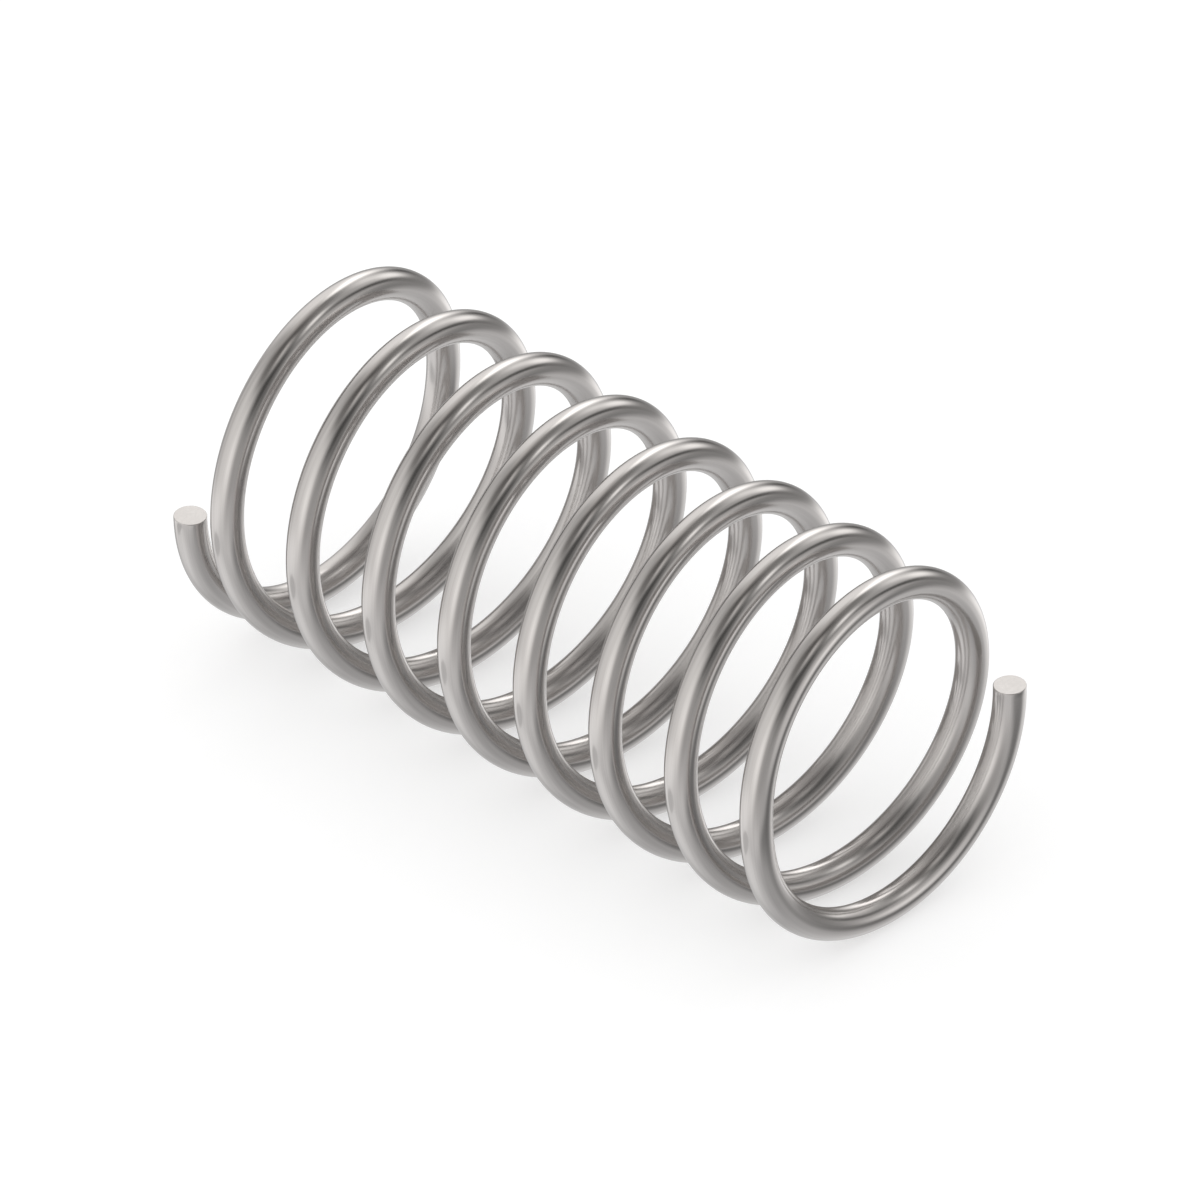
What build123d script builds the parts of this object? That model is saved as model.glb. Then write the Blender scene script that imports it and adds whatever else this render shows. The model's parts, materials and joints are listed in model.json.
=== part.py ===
"""Small open-ended compression spring, wound right-handed from one length of round wire.

The spring lies on its side, as a loose one comes to rest. X runs along its axis, Z is up, and the
origin is the middle of the surface that it lies on. Units are millimetres.
"""
import os
from math import radians, tan

from build123d import *

# Driving dimensions
wire_diameter = 1.3
outside_diameter = 15.0
free_length = 32.0
# Turns of the wire that rise at one even pitch, and so give the spring its travel
rising_turns = 7.5
# Turns at each end that stay in one plane, as the seat that a flat surface bears on
seat_turns = 0.5
# Share of a turn over which the wire bends from the flat seat into the rise
bend_turns = 0.06

# Worked out from the driving dimensions
wire_radius = wire_diameter / 2
coil_radius = (outside_diameter - wire_diameter) / 2
axis_height = outside_diameter / 2
rise = free_length - wire_diameter
pitch = rise / rising_turns


def seat_arc():
    """Flat turn of the first end, from the cut face to where the wire starts to bend."""
    first_angle = -360 * (rising_turns / 2 + seat_turns)
    swept_angle = 360 * (seat_turns - bend_turns / 2)
    return CenterArc((0, 0, -rise / 2), coil_radius, first_angle, swept_angle)


def rising_helix():
    """Turns of even pitch, with their middle on the X axis halfway along the spring."""
    turns = rising_turns - bend_turns
    helix = Helix(pitch, pitch * turns, coil_radius, center=(0, 0, -pitch * turns / 2))
    return Rot(Z=-360 * turns / 2) * helix


def bend(seat, helix):
    """Cubic curve that leaves the seat and enters the helix along their own directions."""
    start, end = seat @ 1, helix @ 0
    reach = 4 / 3 * tan(radians(360 * bend_turns) / 4) * coil_radius
    return Bezier(start, start + (seat % 1) * reach, end - (helix % 0) * reach, end)


def other_end(edge):
    """The same edge at the second end: the spring turned half round about the X axis."""
    return Rot(X=180) * edge


def wire_path():
    """Centre line of the wire, from one cut face to the other, wound about the Z axis."""
    seat = seat_arc()
    helix = rising_helix()
    first_bend = bend(seat, helix)
    return Wire([seat, first_bend, helix, other_end(first_bend), other_end(seat)])


def make_coil():
    """Round wire carried along its path, still wound about the Z axis."""
    path = wire_path()
    section = Plane(origin=path @ 0, z_dir=path % 0) * Circle(wire_radius)
    return sweep(section, path=path)


def lie_down(standing):
    """Lay the axis along X, at the height where the lowest turns touch the ground."""
    lying = Plane(origin=(0, 0, axis_height), x_dir=(0, 0, -1), z_dir=(1, 0, 0))
    return lying * standing


coil = lie_down(make_coil())
coil.label = "coil"

os.makedirs("parts", exist_ok=True)
export_step(coil, "parts/coil.step")
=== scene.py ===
"""Small compression spring: one drawn stainless wire, lying on a pale studio floor.

The wire is a surface worked out on a grid: turns along it, angle around it. Lengths in the
sidebar are millimetres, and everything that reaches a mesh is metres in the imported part's frame.
"""
import json
import math
from collections import namedtuple

import bpy
import numpy as np
from mathutils import Matrix, Vector


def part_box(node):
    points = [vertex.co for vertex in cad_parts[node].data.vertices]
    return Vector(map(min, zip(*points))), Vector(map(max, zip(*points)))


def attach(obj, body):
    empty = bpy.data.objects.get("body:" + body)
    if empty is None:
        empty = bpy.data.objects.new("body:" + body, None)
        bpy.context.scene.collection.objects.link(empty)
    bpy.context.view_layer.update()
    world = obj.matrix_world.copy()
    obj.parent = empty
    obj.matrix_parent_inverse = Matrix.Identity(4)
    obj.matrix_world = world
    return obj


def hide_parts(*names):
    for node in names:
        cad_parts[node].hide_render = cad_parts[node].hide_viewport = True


bl_info = {
    "name": "Small Compression Spring",
    "version": (1, 0, 0),
    "blender": (4, 5, 0),
    "location": "3D View > Sidebar > Spring",
    "description": "Winds a small open-ended compression spring and sets it on a pale floor",
    "category": "Add Mesh",
}

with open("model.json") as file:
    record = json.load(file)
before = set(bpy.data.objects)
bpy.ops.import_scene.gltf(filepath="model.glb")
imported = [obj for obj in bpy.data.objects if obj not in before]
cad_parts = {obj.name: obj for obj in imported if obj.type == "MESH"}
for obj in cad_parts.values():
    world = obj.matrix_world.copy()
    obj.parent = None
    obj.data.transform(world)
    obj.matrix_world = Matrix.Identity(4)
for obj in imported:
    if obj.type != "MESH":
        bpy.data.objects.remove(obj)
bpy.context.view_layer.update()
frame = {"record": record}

NODE = "coil"
BODY = "root"
MM = 0.001

# Rings that cross each cut face, as shares of the wire's radius, and rings along the rounding of its rim
FACE_RINGS = (0.95, 0.6, 0.25)
RIM_RINGS = 5

# Patterns in the drawn wire: how often each repeats per millimetre across, across and along the wire, and
# how many finer layers it has
Pattern = namedtuple("Pattern", "scale detail")
STREAKS = Pattern((5.0, 5.0, 0.12), 3.0)
LINES = Pattern((26.0, 26.0, 0.35), 2.0)
CLOUDS = Pattern((0.7, 0.7, 0.45), 2.0)
# Noise levels between which the colour and the gloss run through their whole range
COLOUR_NOISE = (0.38, 0.62)
GLOSS_NOISE = (0.3, 0.7)
# How far the drawing lines stand out at full line depth
LINE_RELIEF_MM = 0.02
# The wire grows duller from the first of these places to the second. They are shares of its radius, where 1
# is the side away from the coil's axis and -1 the side towards it
RUBBED_SIDE = (0.1, -0.5)
# Roughness added to turns that are seen in other turns
MIRRORED_SOFTNESS = 0.3

FLOOR_POINTS = 96
# Nearest and farthest distance that the camera sees, in metres
CAMERA_REACH = (0.001, 10.0)

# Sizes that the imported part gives: the coil's outside from its box, its inside from the rod's way
COIL_LOW, COIL_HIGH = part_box(NODE)
GUIDE = next(m for m in frame["record"]["mounts"] if m["name"] == "guide_rod_way")
FREE_LENGTH_MM = round((COIL_HIGH[0] - COIL_LOW[0]) / MM, 2)
OUTSIDE_MM = round((COIL_HIGH[1] - COIL_LOW[1]) / MM, 2)
WIRE_MM = round(OUTSIDE_MM / 2 - GUIDE["dims"]["r_mm"], 3)

# Faint colour of the studio's light from the floor up to the ceiling, each with the height that it is at,
# where 0 is straight down, 0.5 the horizon and 1 straight up
LIGHT_TINTS = (
    (0.0, (1.0, 0.999, 1.0)),
    (0.5, (1.018, 1.0, 0.983)),
    (0.9, (1.018, 1.003, 0.98)),
    (1.0, (1.04, 0.997, 0.962)),
)

# Light of the bare studio, where 1 is white
WALL_LIGHT = 0.52

# The studio's walls as soft-edged patches, each painted over the ones before it. Azimuth 0 is towards -Y
# and 90 towards +X. Width and height are half sizes in degrees, and lean turns a patch about its middle.
# Corner 2 makes an oval and more makes it squarer, and a higher edge number gives a crisper rim. Light is
# how bright the patch is, where 1 is white.
Patch = namedtuple("Patch", "name azimuth elevation width height lean corner edge light")
PATCHES = (
    Patch("ceiling", 0, 90, 1000, 34, 0, 3, 3, 0.125),
    Patch("rear ceiling", -112, 68, 54, 15, 0, 2, 2, 0.58),
    Patch("front ceiling", 10, 66, 31, 9, 0, 2, 2, 0.21),
    Patch("rear wall", -131, 30, 34, 33, 0, 4, 4, 1.10),
    Patch("rear wall heart", -133, 37, 14, 12, 0, 2, 2, 1.14),
    Patch("left corner", -92, 2, 9, 9, 0, 2, 2, 0.42),
    Patch("left wall", -76, 6, 11, 42, 0, 2, 2, 0.73),
    Patch("front wall", -18, 9, 46, 46, 0, 6, 6, 0.90),
    Patch("front low wall", -37, -21, 41, 12.5, 17, 2, 3, 1.09),
    Patch("front window", 10, 15, 20, 21, 0, 2, 2, 1.17),
    Patch("front sill", 42, -32, 34, 18, 0, 2, 2, 0.80),
    Patch("camera side wall", 67, 10, 27, 17, 0, 6, 6, 0.47),
    Patch("camera side flag", 76, 42, 33, 15.5, 0, 4, 4, 0.08),
    Patch("flag skirt", 83, 24, 22, 12, 0, 2, 2, 0.18),
    Patch("right wall", 122, 33, 26, 6, 0, 2, 2, 0.30),
    Patch("side ceiling", 108, 58, 26, 9, 0, 2, 2, 0.25),
    Patch("side haze", 112, 17, 15, 8, 0, 2, 2, 0.61),
    Patch("top lamp", 78, 68, 25, 9, 7, 2, 2, 0.72),
    Patch("right ceiling", 180, 60, 34, 12, 0, 2, 2, 0.26),
    Patch("high side lamp", 126, 46, 12, 8, 0, 2, 2, 1.40),
    Patch("right floor edge", 169, -13, 40, 11, 0, 4, 4, 0.32),
    Patch("rear right haze", 180, 28, 16, 13, 0, 2, 2, 1.10),
    Patch("low side lamp", 180, 12, 12, 10, 0, 2, 3, 1.40),
    Patch("side flag", 150, 14, 7, 27, 45, 3, 3, 0.10),
    Patch("rear flag", -158, -3, 9, 18, 9, 2, 2, 0.11),
    Patch("rear strip lamp", -147, 31, 9, 23, 13, 3, 3, 2.03),
    Patch("rear floor edge", -122, -24, 41, 17, 0, 4, 4, 0.40),
    Patch("left low wall", -76, -33, 12, 15, 0, 2, 2, 1.16),
    Patch("left disc", -109, -15, 12, 11, 0, 2, 4, 0.58),
    Patch("dark floor edge", 107, -34, 40, 14, 9, 4, 4, 0.11),
    Patch("side window", 111, -2, 24.5, 15, -6, 2, 5, 0.75),
    Patch("side window heart", 121, -1, 11, 9, 0, 2, 2, 1.22),
    Patch("rear floor light", -174, -31, 22, 10.5, 0, 2, 3, 1.38),
    Patch("rear floor glow", 164, -38, 20, 8, 0, 2, 2, 0.98),
    Patch("floor", 0, -90, 1000, 48, 0, 6, 6, 0.70),
    Patch("shaded floor", 94, -55, 46, 26, 0, 2, 2, 0.47),
    Patch("lit floor", -36, -50, 50, 22, 0, 2, 3, 0.96),
    Patch("dull floor", -100, -72, 30, 14, 0, 2, 2, 0.56),
    Patch("rear lit floor", -174, -56, 30, 16, 0, 2, 2, 0.83),
    Patch("floor below", 0, -90, 1000, 10, 0, 2, 2, 0.57),
    Patch("floor plate", -38, -35, 26, 5.8, 7, 2, 20, 0.68),
)


def degrees_prop(name, text, value):
    """An angle setting, kept in radians and shown in degrees."""
    return bpy.props.FloatProperty(name=name, description=text, default=math.radians(value), unit="ROTATION")


def share_prop(name, text, value, high=1.0):
    """A plain number setting that runs from zero up to the given number."""
    return bpy.props.FloatProperty(name=name, description=text, default=value, min=0.0, max=high)


def colour_prop(name, text, value):
    """A colour setting, in linear values."""
    return bpy.props.FloatVectorProperty(
        name=name, description=text, default=value, subtype="COLOR", size=3, min=0.0, max=1.0)


class SpringWireSettings(bpy.types.PropertyGroup):
    """Sizes of the wound wire, in millimetres and turns."""

    wire_diameter: bpy.props.FloatProperty(
        name="Wire diameter", description="Diameter of the round wire, in millimetres",
        default=WIRE_MM, min=0.1)
    outside_diameter: bpy.props.FloatProperty(
        name="Outside diameter", description="Diameter over the turns, in millimetres",
        default=OUTSIDE_MM, min=1.0)
    free_length: bpy.props.FloatProperty(
        name="Free length", description="Length along the axis with no load, in millimetres",
        default=FREE_LENGTH_MM, min=1.0)
    rising_turns: bpy.props.FloatProperty(
        name="Rising turns", description="Turns of even pitch between the two flat seats",
        default=7.5, min=1.0)
    seat_turns: bpy.props.FloatProperty(
        name="Seat turns", description="Share of a turn that lies in one plane at each end",
        default=0.5, min=0.1)
    bend_turns: bpy.props.FloatProperty(
        name="Bend turns", description="Share of a turn over which the wire leaves the seat",
        default=0.06, min=0.01)
    rim_radius: bpy.props.FloatProperty(
        name="Rim radius", description="Rounding of the cut ends' rims, in millimetres",
        default=0.025, min=0.001)
    rings_per_turn: bpy.props.IntProperty(
        name="Rings per turn", description="Rows of points along one turn of the wire",
        default=180, min=24)
    ring_points: bpy.props.IntProperty(
        name="Ring points", description="Points around the wire", default=48, min=12)


class SpringFinishSettings(bpy.types.PropertyGroup):
    """Look of the drawn stainless wire."""

    steel_colour: colour_prop(
        "Steel colour", "Reflected colour of the wire's surface", (0.62, 0.6, 0.589))
    steel_streak_colour: colour_prop(
        "Streak colour", "Reflected colour in the darker drawing streaks", (0.585, 0.566, 0.556))
    roughness: share_prop("Roughness", "Mean roughness of the wire's surface", 0.13)
    roughness_spread: share_prop(
        "Roughness spread", "How far the drawing streaks change the roughness", 0.015, high=0.5)
    anisotropy: share_prop(
        "Anisotropy", "How much more a reflection spreads across the wire than along it", 0.7)
    inner_dulling: share_prop(
        "Inner dulling", "Roughness added on the inner side of the coil", 0.06, high=0.5)
    line_depth: share_prop("Line depth", "Strength of the fine drawing lines' relief", 0.01)


class SpringStudioSettings(bpy.types.PropertyGroup):
    """Floor, light and camera."""

    floor_colour: colour_prop("Floor colour", "Colour of the studio floor", (0.6, 0.6, 0.6))
    floor_lift: share_prop("Floor lift", "Glow that brings the bare floor up to white", 0.48)
    floor_radius: bpy.props.FloatProperty(
        name="Floor radius", description="Radius of the round floor, in metres", default=0.6, min=0.1,
        unit="LENGTH")
    camera_azimuth: degrees_prop("Camera azimuth", "Turn of the view about the upright axis", 45.69)
    camera_elevation: degrees_prop("Camera elevation", "Height of the view above the horizon", 35.54)
    camera_roll: degrees_prop("Camera roll", "Turn of the picture about the line of sight", 1.30)
    view_width: bpy.props.FloatProperty(
        name="View width", description="Width of the picture at the spring, in metres", default=0.045986,
        min=0.001, precision=6)
    camera_distance: bpy.props.FloatProperty(
        name="Camera distance", description="From the middle of the spring to the camera, in metres",
        default=0.12, min=0.01, unit="LENGTH")


def ramp(turns, half_width):
    """Zero below, the turns themselves above, and a parabola between that joins both without a corner."""
    inside = (turns + half_width) ** 2 / (4 * half_width)
    return np.where(turns < -half_width, 0.0, np.where(turns > half_width, turns, inside))


def ramp_slope(turns, half_width):
    """Slope of the ramp: zero, then a straight rise to one."""
    return np.clip((turns + half_width) / (2 * half_width), 0.0, 1.0)


def wire_frame(turns, sizes):
    """Centre, direction, outward and sideways unit vectors of the wire at each turn, in millimetres.

    The wire runs round the X axis at the coil's mean radius, straight below the axis at turn zero and
    on the +Y side a quarter turn later. Its place along X is the pitch times a ramp that starts where
    the first seat ends, less the same ramp where the second begins.
    """
    radius = (sizes.outside_diameter - sizes.wire_diameter) / 2
    rise = sizes.free_length - sizes.wire_diameter
    pitch = rise / sizes.rising_turns
    half_bend = sizes.bend_turns / 2
    start, end = -sizes.rising_turns / 2, sizes.rising_turns / 2
    along = pitch * (ramp(turns - start, half_bend) - ramp(turns - end, half_bend)) - rise / 2
    slope = pitch * (ramp_slope(turns - start, half_bend) - ramp_slope(turns - end, half_bend))
    angle = 2 * np.pi * turns
    outward = np.stack([0 * angle, np.sin(angle), -np.cos(angle)], axis=-1)
    ahead = np.stack([slope, 2 * np.pi * radius * np.cos(angle), 2 * np.pi * radius * np.sin(angle)], axis=-1)
    length_per_turn = np.linalg.norm(ahead, axis=-1, keepdims=True)
    ahead = ahead / length_per_turn
    centre = radius * outward
    centre[:, 0] += along
    centre[:, 2] += sizes.outside_diameter / 2
    sideways = np.cross(ahead, outward)
    return centre, ahead, outward, sideways, length_per_turn[:, 0]


def wire_rings(sizes):
    """Every ring of the wire's skin: its turn, its radius and how far it is moved along the wire.

    Full rings run from rim to rim. At each end the radius falls by the rim's rounding along a quarter
    circle, and a few smaller rings cross the cut face, so that the face stays flat up to its rim.
    """
    radius = sizes.wire_diameter / 2
    rim = sizes.rim_radius
    half = sizes.rising_turns / 2 + sizes.seat_turns
    mean_radius = (sizes.outside_diameter - sizes.wire_diameter) / 2
    rim_turns = rim / (2 * np.pi * mean_radius)
    count = int(round(2 * half * sizes.rings_per_turn)) + 1
    body_turns = np.linspace(-half + rim_turns, half - rim_turns, count)
    corner = np.radians(np.linspace(90 / RIM_RINGS, 90, RIM_RINGS))
    end_radius = np.concatenate([radius - rim + rim * np.cos(corner), np.multiply(FACE_RINGS, radius)])
    end_shift = np.concatenate([rim * np.sin(corner), np.full(len(FACE_RINGS), rim)])
    end_turns = np.ones(len(end_radius))
    turns = np.concatenate([end_turns * body_turns[0], body_turns, end_turns * body_turns[-1]])
    radii = np.concatenate([end_radius[::-1], np.full(count, radius), end_radius])
    shift = np.concatenate([-end_shift[::-1], np.zeros(count), end_shift])
    return turns, radii, shift


def wire_faces(rows, columns):
    """Quads between the rings, and triangles from the outermost rings to the middles of the cut faces.

    The points are numbered ring by ring, then the first end's middle, then the last end's.
    """
    index = np.arange(rows * columns).reshape(rows, columns)
    here, ahead_of = index[:-1], index[1:]
    quads = np.stack([here, ahead_of, np.roll(ahead_of, -1, axis=1), np.roll(here, -1, axis=1)], axis=-1)
    quads = quads[..., ::-1].reshape(-1, 4)
    first, last = rows * columns, rows * columns + 1
    near, far = index[0], index[-1]
    first_fan = np.stack([np.full(columns, first), near, np.roll(near, -1)], axis=-1)
    last_fan = np.stack([np.full(columns, last), np.roll(far, -1), far], axis=-1)
    fans = np.concatenate([first_fan, last_fan])[:, ::-1]
    return quads, fans


def wire_surface(sizes):
    """Points, quads, end triangles, the wire's own coordinates and its direction across the drawing lines.

    A point is centre + shift * ahead + radius * (cos v * outward + sin v * sideways), with v running once
    round the wire. The wire's own coordinates are cos v, sin v and the length along it, so that a pattern
    follows the wire and meets itself all round. The direction across is cos v * sideways - sin v * outward.
    """
    turns, radii, shift = wire_rings(sizes)
    centre, ahead, outward, sideways, length_per_turn = wire_frame(turns, sizes)
    around = np.linspace(0.0, 2 * np.pi, sizes.ring_points, endpoint=False)
    cos_v, sin_v = np.cos(around), np.sin(around)
    spoke = cos_v[None, :, None] * outward[:, None] + sin_v[None, :, None] * sideways[:, None]
    points = (centre + shift[:, None] * ahead)[:, None] + radii[:, None, None] * spoke
    rows, columns = points.shape[:2]
    quads, fans = wire_faces(rows, columns)

    length = turns * length_per_turn.mean() + shift
    own = np.empty_like(points)
    own[..., 0] = cos_v * radii[:, None]
    own[..., 1] = sin_v * radii[:, None]
    own[..., 2] = length[:, None]

    across = cos_v[None, :, None] * sideways[:, None] - sin_v[None, :, None] * outward[:, None]
    # A cut face has no drawing lines, so its direction is the same all over
    face_rings = len(FACE_RINGS)
    across[:face_rings] = outward[0]
    across[-face_rings:] = outward[-1]
    face_rows = np.repeat(np.arange(rows - 1), columns)
    flat = (face_rows < face_rings) | (face_rows >= rows - 1 - face_rings)

    # The middles of the two cut faces
    poles = (centre + shift[:, None] * ahead)[[0, -1]]
    own_poles = np.array([[0, 0, length[0]], [0, 0, length[-1]]])
    points = np.concatenate([points.reshape(-1, 3), poles]) * MM
    own = np.concatenate([own.reshape(-1, 3), own_poles])
    across = np.concatenate([across.reshape(-1, 3), outward[[0, -1]]])
    return points, quads, fans, own, across, flat


def mesh_from_arrays(name, points, quads, triangles, smooth):
    """Mesh of the given points, four-sided faces and three-sided faces, in that order."""
    mesh = bpy.data.meshes.new(name)
    mesh.vertices.add(len(points))
    mesh.vertices.foreach_set("co", points.astype(np.float32).ravel())
    corners = np.concatenate([quads.ravel(), triangles.ravel()]).astype(np.int32)
    sizes = np.concatenate([np.full(len(quads), 4), np.full(len(triangles), 3)])
    starts = np.concatenate([[0], np.cumsum(sizes)[:-1]]).astype(np.int32)
    mesh.loops.add(len(corners))
    mesh.loops.foreach_set("vertex_index", corners)
    mesh.polygons.add(len(sizes))
    mesh.polygons.foreach_set("loop_start", starts)
    mesh.polygons.foreach_set("use_smooth", smooth)
    mesh.update(calc_edges=True)
    mesh.validate()
    return mesh


def add_object(mesh):
    """Object for the mesh, at the origin, unturned and unscaled."""
    obj = bpy.data.objects.new(mesh.name, mesh)
    bpy.context.scene.collection.objects.link(obj)
    return obj


def new_material(name):
    """Node material with an empty tree, and its output node."""
    material = bpy.data.materials.new(name)
    material.use_nodes = True
    material.node_tree.nodes.clear()
    output = material.node_tree.nodes.new("ShaderNodeOutputMaterial")
    return material, material.node_tree, output


def math_node(tree, operation, *values):
    """Math node with each input either linked from a socket or set to a number. Returns its output."""
    node = tree.nodes.new("ShaderNodeMath")
    node.operation = operation
    for socket, value in zip(node.inputs, values):
        if isinstance(value, bpy.types.NodeSocket):
            tree.links.new(value, socket)
        else:
            socket.default_value = value
    return node.outputs[0]


def attribute_node(tree, name):
    """Node that reads an attribute of the mesh."""
    node = tree.nodes.new("ShaderNodeAttribute")
    node.attribute_name = name
    return node


def map_range(tree, value, given, wanted=(0.0, 1.0)):
    """Node that carries a value from one range over to another, and holds it there."""
    node = tree.nodes.new("ShaderNodeMapRange")
    for socket, number in zip(("From Min", "From Max", "To Min", "To Max"), (*given, *wanted)):
        node.inputs[socket].default_value = number
    tree.links.new(value, node.inputs["Value"])
    return node


def mean_of(tree, first, second):
    """Mean of two values."""
    return math_node(tree, "MULTIPLY", math_node(tree, "ADD", first, second), 0.5)


def wire_noise(tree, place, pattern):
    """Noise over the wire's own coordinates, with its own scale across and along the wire."""
    mapping = tree.nodes.new("ShaderNodeMapping")
    mapping.inputs["Scale"].default_value = pattern.scale
    tree.links.new(place, mapping.inputs["Vector"])
    noise = tree.nodes.new("ShaderNodeTexNoise")
    noise.inputs["Scale"].default_value = 1.0
    noise.inputs["Detail"].default_value = pattern.detail
    tree.links.new(mapping.outputs["Vector"], noise.inputs["Vector"])
    return noise.outputs["Fac"]


def streaked_colour(tree, finish, streaks, lines):
    """Steel's colour, a little darker in the drawing streaks and lines."""
    colour = tree.nodes.new("ShaderNodeMix")
    colour.data_type = "RGBA"
    colour.inputs["A"].default_value = (*finish.steel_streak_colour, 1.0)
    colour.inputs["B"].default_value = (*finish.steel_colour, 1.0)
    share = map_range(tree, mean_of(tree, streaks, lines), COLOUR_NOISE)
    tree.links.new(share.outputs["Result"], colour.inputs["Factor"])
    return colour.outputs["Result"]


def wire_roughness(tree, finish, place, wire_radius, lines, clouds):
    """Roughness that varies with the lines, and is higher on the inner side and in other turns."""
    glossiest = finish.roughness - finish.roughness_spread
    dullest = finish.roughness + finish.roughness_spread
    gloss = map_range(tree, mean_of(tree, lines, clouds), GLOSS_NOISE, (glossiest, dullest))
    # The first of the wire's own coordinates is positive on its outer side and negative on the side that ran
    # on the winding rod
    sides = tree.nodes.new("ShaderNodeSeparateXYZ")
    tree.links.new(place, sides.inputs[0])
    rubbed = map_range(tree, sides.outputs["X"], [share * wire_radius for share in RUBBED_SIDE],
                       (0.0, finish.inner_dulling))
    rubbed.interpolation_type = "SMOOTHSTEP"
    on_both_sides = math_node(tree, "ADD", gloss.outputs["Result"], rubbed.outputs["Result"])
    # Turns that are seen in other turns are softer, which leaves less grain on the inner faces
    mirrored = tree.nodes.new("ShaderNodeLightPath").outputs["Is Glossy Ray"]
    return math_node(tree, "MULTIPLY_ADD", mirrored, MIRRORED_SOFTNESS, on_both_sides)


def line_relief(tree, finish, lines):
    """Surface direction with the fine drawing lines in it."""
    relief = tree.nodes.new("ShaderNodeBump")
    relief.inputs["Strength"].default_value = finish.line_depth
    relief.inputs["Distance"].default_value = LINE_RELIEF_MM * MM
    tree.links.new(lines, relief.inputs["Height"])
    return relief.outputs["Normal"]


def steel_wire_material(finish, wire_radius):
    """Drawn stainless wire: long faint streaks in colour and gloss, and fine drawing lines in relief."""
    material, tree, output = new_material("drawn_stainless_wire")
    place = attribute_node(tree, "wire_place").outputs["Vector"]
    streaks = wire_noise(tree, place, STREAKS)
    lines = wire_noise(tree, place, LINES)
    clouds = wire_noise(tree, place, CLOUDS)

    shader = tree.nodes.new("ShaderNodeBsdfPrincipled")
    shader.inputs["Metallic"].default_value = 1.0
    # The drawing lines spread a reflection across the wire and leave it sharp along the wire
    shader.inputs["Anisotropic"].default_value = finish.anisotropy
    for name, value in (("Tangent", attribute_node(tree, "wire_across").outputs["Vector"]),
                        ("Base Color", streaked_colour(tree, finish, streaks, lines)),
                        ("Roughness", wire_roughness(tree, finish, place, wire_radius, lines, clouds)),
                        ("Normal", line_relief(tree, finish, lines))):
        tree.links.new(value, shader.inputs[name])
    tree.links.new(shader.outputs["BSDF"], output.inputs["Surface"])
    return material


def make_wire(sizes, finish):
    """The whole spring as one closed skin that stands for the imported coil."""
    points, quads, fans, own, across, flat = wire_surface(sizes)
    smooth = np.concatenate([~flat, np.zeros(len(fans), bool)])
    mesh = mesh_from_arrays("spring_wire", points, quads, fans, smooth)
    for name, values in (("wire_place", own), ("wire_across", across)):
        layer = mesh.attributes.new(name, "FLOAT_VECTOR", "POINT")
        layer.data.foreach_set("vector", values.astype(np.float32).ravel())
    wire = add_object(mesh)
    mesh.materials.append(steel_wire_material(finish, sizes.wire_diameter / 2))
    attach(wire, BODY)
    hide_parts(NODE)
    return wire


def seen_by_eye_or_mirror(tree):
    """One for camera, glossy and transmission rays, and zero for the rays that carry diffuse light."""
    path = tree.nodes.new("ShaderNodeLightPath")
    seen = math_node(tree, "MAXIMUM", path.outputs["Is Camera Ray"], path.outputs["Is Glossy Ray"])
    return math_node(tree, "MAXIMUM", seen, path.outputs["Is Transmission Ray"])


def floor_material(studio):
    """Pale matt floor that keeps the spring's shadow and shows as white where nothing shades it."""
    material, tree, output = new_material("pale_floor")
    matt = tree.nodes.new("ShaderNodeBsdfDiffuse")
    matt.inputs["Color"].default_value = (*studio.floor_colour, 1.0)
    glow = tree.nodes.new("ShaderNodeEmission")
    tree.links.new(math_node(tree, "MULTIPLY", seen_by_eye_or_mirror(tree), studio.floor_lift),
                   glow.inputs["Strength"])
    both = tree.nodes.new("ShaderNodeAddShader")
    tree.links.new(matt.outputs[0], both.inputs[0])
    tree.links.new(glow.outputs[0], both.inputs[1])

    # From below, the floor is clear, so that the spring's underside can be looked at
    side = tree.nodes.new("ShaderNodeNewGeometry")
    clear = tree.nodes.new("ShaderNodeBsdfTransparent")
    path = tree.nodes.new("ShaderNodeLightPath")
    from_below = math_node(tree, "MULTIPLY", side.outputs["Backfacing"], path.outputs["Is Camera Ray"])
    pick = tree.nodes.new("ShaderNodeMixShader")
    tree.links.new(from_below, pick.inputs["Fac"])
    tree.links.new(both.outputs[0], pick.inputs[1])
    tree.links.new(clear.outputs[0], pick.inputs[2])
    tree.links.new(pick.outputs[0], output.inputs["Surface"])
    return material


def make_floor(studio):
    """Round flat floor at the height that the spring lies on."""
    around = np.linspace(0.0, 2 * np.pi, FLOOR_POINTS, endpoint=False)
    rim = np.stack([np.cos(around), np.sin(around), 0 * around], axis=-1) * studio.floor_radius
    points = np.concatenate([rim, [[0.0, 0.0, 0.0]]])
    ring = np.arange(FLOOR_POINTS)
    middle = np.full(FLOOR_POINTS, FLOOR_POINTS)
    fan = np.stack([middle, ring, np.roll(ring, -1)], axis=-1)
    no_quads = np.empty((0, 4), int)
    mesh = mesh_from_arrays("studio_floor", points, no_quads, fan, np.zeros(FLOOR_POINTS, bool))
    floor = add_object(mesh)
    mesh.materials.append(floor_material(studio))
    # The metal sees the studio's own painted floor, as it sees its walls
    floor.visible_glossy = False
    return floor


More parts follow.
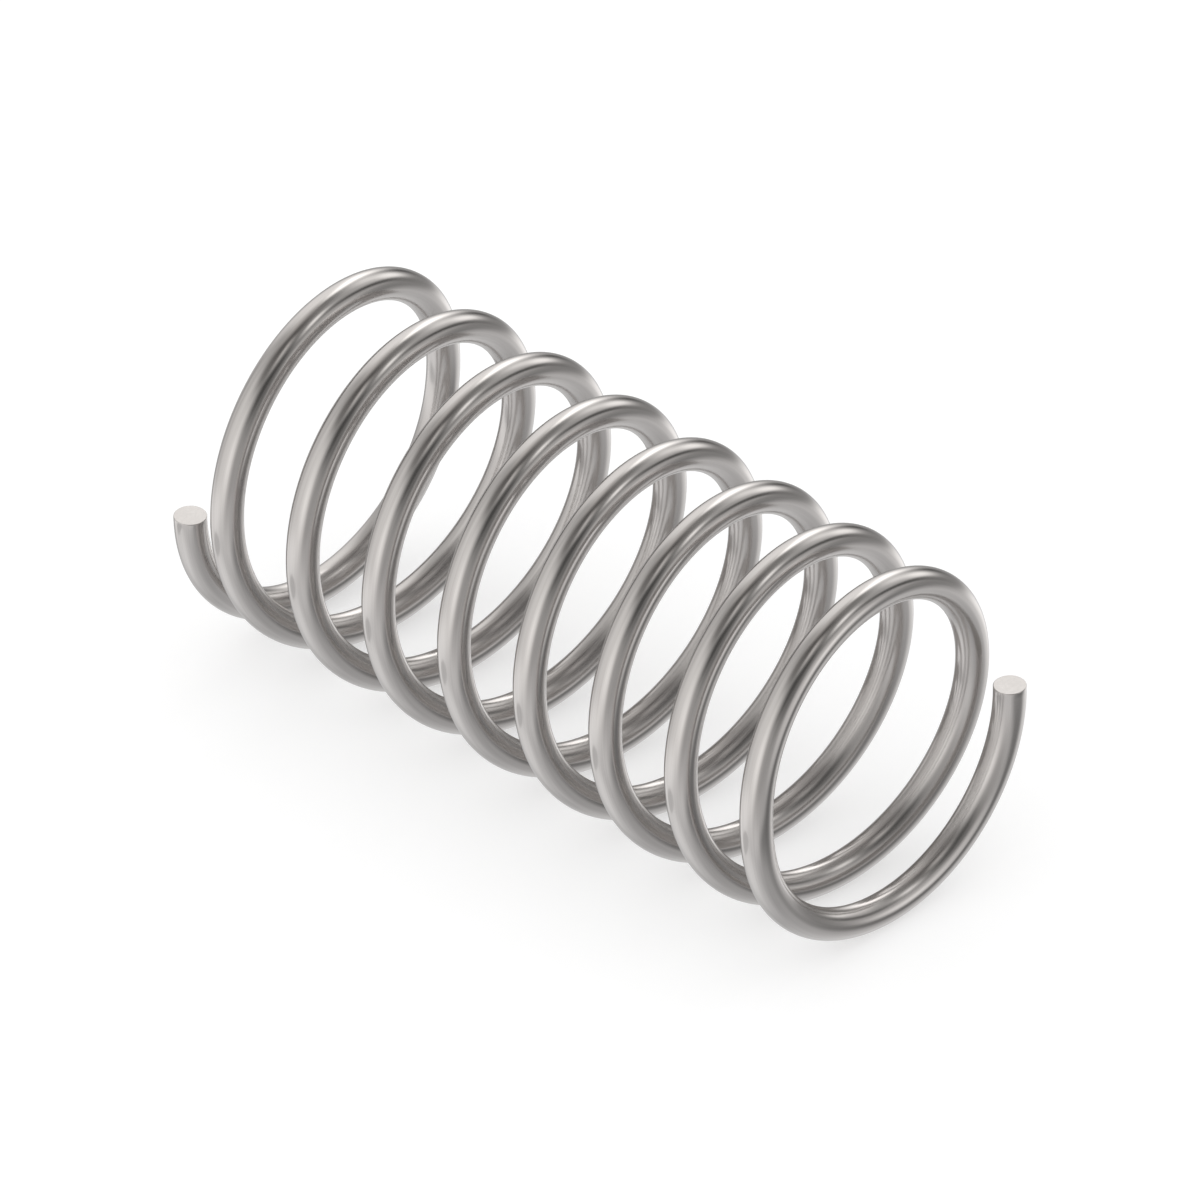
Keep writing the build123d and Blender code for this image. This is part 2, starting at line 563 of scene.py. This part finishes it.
def soft_patch_group():
    """Node group that paints one patch over the light so far.

    The direction is measured from the patch's middle, turned by its lean and divided by its half sizes.
    Its cover is exp(-(|across| ^ corner + |upward| ^ corner) ^ (edge / corner)), and by that share the
    light goes to the patch's own.
    """
    group = bpy.data.node_groups.new("soft_patch", "ShaderNodeTree")
    for name in ("Light", "Azimuth", "Elevation", "Middle azimuth", "Middle elevation", "Width", "Height",
                 "Lean cosine", "Lean sine", "Corner", "Edge", "Patch light"):
        group.interface.new_socket(name, in_out="INPUT", socket_type="NodeSocketFloat")
    group.interface.new_socket("Light", in_out="OUTPUT", socket_type="NodeSocketFloat")
    given = group.nodes.new("NodeGroupInput").outputs
    turn = math_node(group, "WRAP", math_node(group, "SUBTRACT", given["Azimuth"], given["Middle azimuth"]),
                     180.0, -180.0)
    lift = math_node(group, "SUBTRACT", given["Elevation"], given["Middle elevation"])
    cosine, sine = given["Lean cosine"], given["Lean sine"]
    across = math_node(group, "DIVIDE", math_node(
        group, "ADD", math_node(group, "MULTIPLY", turn, cosine),
        math_node(group, "MULTIPLY", lift, sine)), given["Width"])
    upward = math_node(group, "DIVIDE", math_node(
        group, "SUBTRACT", math_node(group, "MULTIPLY", lift, cosine),
        math_node(group, "MULTIPLY", turn, sine)), given["Height"])
    sides = [math_node(group, "POWER", math_node(group, "ABSOLUTE", side), given["Corner"])
             for side in (across, upward)]
    distance = math_node(group, "POWER", math_node(group, "ADD", *sides),
                         math_node(group, "DIVIDE", given["Edge"], given["Corner"]))
    cover = math_node(group, "EXPONENT", math_node(group, "MULTIPLY", distance, -1.0))
    step = math_node(group, "SUBTRACT", given["Patch light"], given["Light"])
    light = math_node(group, "MULTIPLY_ADD", cover, step, given["Light"])
    group.links.new(light, group.nodes.new("NodeGroupOutput").inputs["Light"])
    return group


def studio_light(tree):
    """Brightness of the studio by direction: the walls' light with every patch painted over it in turn."""
    place = tree.nodes.new("ShaderNodeTexCoord")
    axes = tree.nodes.new("ShaderNodeSeparateXYZ")
    tree.links.new(place.outputs["Generated"], axes.inputs[0])
    to_front = math_node(tree, "MULTIPLY", axes.outputs["Y"], -1.0)
    azimuth = math_node(tree, "DEGREES", math_node(tree, "ARCTAN2", axes.outputs["X"], to_front))
    elevation = math_node(tree, "DEGREES", math_node(tree, "ARCSINE", axes.outputs["Z"]))
    group = soft_patch_group()
    light = None
    for patch in PATCHES:
        node = tree.nodes.new("ShaderNodeGroup")
        node.node_tree = group
        node.label = patch.name
        tree.links.new(azimuth, node.inputs["Azimuth"])
        tree.links.new(elevation, node.inputs["Elevation"])
        for name, value in (("Light", WALL_LIGHT), ("Middle azimuth", patch.azimuth),
                            ("Middle elevation", patch.elevation), ("Width", patch.width),
                            ("Height", patch.height), ("Corner", patch.corner), ("Edge", patch.edge),
                            ("Patch light", patch.light),
                            ("Lean cosine", math.cos(math.radians(patch.lean))),
                            ("Lean sine", math.sin(math.radians(patch.lean)))):
            node.inputs[name].default_value = value
        if light:
            tree.links.new(light, node.inputs["Light"])
        light = node.outputs["Light"]
    return light


def studio_tint(tree):
    """Colour of the studio's light by height: warmest overhead and plainest at the floor."""
    place = tree.nodes.new("ShaderNodeTexCoord")
    axes = tree.nodes.new("ShaderNodeSeparateXYZ")
    tree.links.new(place.outputs["Generated"], axes.inputs[0])
    height = math_node(tree, "MULTIPLY_ADD", axes.outputs["Z"], 0.5, 0.5)
    stops = tree.nodes.new("ShaderNodeValToRGB")
    tree.links.new(height, stops.inputs["Fac"])
    colours = stops.color_ramp.elements
    for height_share, _ in LIGHT_TINTS[1:-1]:
        colours.new(height_share)
    for stop, (height_share, tint) in zip(colours, LIGHT_TINTS):
        stop.position = height_share
        stop.color = (*tint, 1.0)
    return stops.outputs["Color"]


def make_world():
    """Plain white for the eye and for diffuse light, and the studio's walls, lamps and flags in the metal."""
    world = bpy.data.worlds.new("studio")
    bpy.context.scene.world = world
    world.use_nodes = True
    tree = world.node_tree
    tree.nodes.clear()
    output = tree.nodes.new("ShaderNodeOutputWorld")
    sky = tree.nodes.new("ShaderNodeBackground")
    in_metal = tree.nodes.new("ShaderNodeLightPath").outputs["Is Glossy Ray"]
    strength = tree.nodes.new("ShaderNodeMix")
    strength.inputs["A"].default_value = 1.0
    tree.links.new(in_metal, strength.inputs["Factor"])
    tree.links.new(studio_light(tree), strength.inputs["B"])
    tree.links.new(strength.outputs["Result"], sky.inputs["Strength"])
    colour = tree.nodes.new("ShaderNodeMix")
    colour.data_type = "RGBA"
    colour.inputs["A"].default_value = (1.0, 1.0, 1.0, 1.0)
    tree.links.new(in_metal, colour.inputs["Factor"])
    tree.links.new(studio_tint(tree), colour.inputs["B"])
    tree.links.new(colour.outputs["Result"], sky.inputs["Color"])
    tree.links.new(sky.outputs[0], output.inputs["Surface"])
    # No light is aimed from the world, so that each kind of ray meets only its own sky
    world.cycles.sampling_method = "NONE"
    return world


def make_camera(studio, target):
    """Camera without perspective, on the line that leaves the target at the given azimuth and elevation."""
    data = bpy.data.cameras.new("camera")
    data.type = "ORTHO"
    data.ortho_scale = studio.view_width
    data.clip_start, data.clip_end = CAMERA_REACH
    camera = bpy.data.objects.new("camera", data)
    bpy.context.scene.collection.objects.link(camera)
    turned = Matrix.Rotation(studio.camera_azimuth, 4, "Z")
    tilted = Matrix.Rotation(math.pi / 2 - studio.camera_elevation, 4, "X")
    rolled = Matrix.Rotation(-studio.camera_roll, 4, "Z")
    aim = turned @ tilted @ rolled
    back = aim.to_3x3() @ Vector((0, 0, 1))
    camera.matrix_world = Matrix.Translation(target + back * studio.camera_distance) @ aim
    bpy.context.scene.camera = camera
    return camera


class SPRING_OT_wind_wire(bpy.types.Operator):
    """Wind the spring's wire and give it its drawn stainless finish"""

    bl_idname = "spring.wind_wire"
    bl_label = "Wind the wire"
    bl_options = {"REGISTER", "UNDO"}

    def execute(self, context):
        make_wire(context.scene.spring_wire, context.scene.spring_finish)
        return {"FINISHED"}


class SPRING_OT_set_stage(bpy.types.Operator):
    """Lay the floor, hang the lights and place the camera"""

    bl_idname = "spring.set_stage"
    bl_label = "Set the stage"
    bl_options = {"REGISTER", "UNDO"}

    def execute(self, context):
        studio = context.scene.spring_studio
        make_floor(studio)
        make_world()
        middle = Vector((0.0, 0.0, context.scene.spring_wire.outside_diameter / 2 * MM))
        make_camera(studio, middle)
        context.scene.view_settings.view_transform = "Standard"
        return {"FINISHED"}


class SPRING_PT_sidebar(bpy.types.Panel):
    """Sizes, finish and stage of the spring"""

    bl_idname = "SPRING_PT_sidebar"
    bl_label = "Compression spring"
    bl_space_type = "VIEW_3D"
    bl_region_type = "UI"
    bl_category = "Spring"

    def draw(self, context):
        scene = context.scene
        for settings, operator in ((scene.spring_wire, SPRING_OT_wind_wire),
                                   (scene.spring_finish, None),
                                   (scene.spring_studio, SPRING_OT_set_stage)):
            box = self.layout.box()
            for name in settings.__annotations__:
                box.prop(settings, name)
            if operator:
                box.operator(operator.bl_idname)


CLASSES = (
    SpringWireSettings,
    SpringFinishSettings,
    SpringStudioSettings,
    SPRING_OT_wind_wire,
    SPRING_OT_set_stage,
    SPRING_PT_sidebar,
)


def register():
    for item in CLASSES:
        bpy.utils.register_class(item)
    bpy.types.Scene.spring_wire = bpy.props.PointerProperty(type=SpringWireSettings)
    bpy.types.Scene.spring_finish = bpy.props.PointerProperty(type=SpringFinishSettings)
    bpy.types.Scene.spring_studio = bpy.props.PointerProperty(type=SpringStudioSettings)


def unregister():
    del bpy.types.Scene.spring_studio
    del bpy.types.Scene.spring_finish
    del bpy.types.Scene.spring_wire
    for item in reversed(CLASSES):
        bpy.utils.unregister_class(item)


def main():
    """Register the add-on and run its operators in order."""
    register()
    bpy.ops.spring.wind_wire()
    bpy.ops.spring.set_stage()


if __name__ == "__main__":
    main()
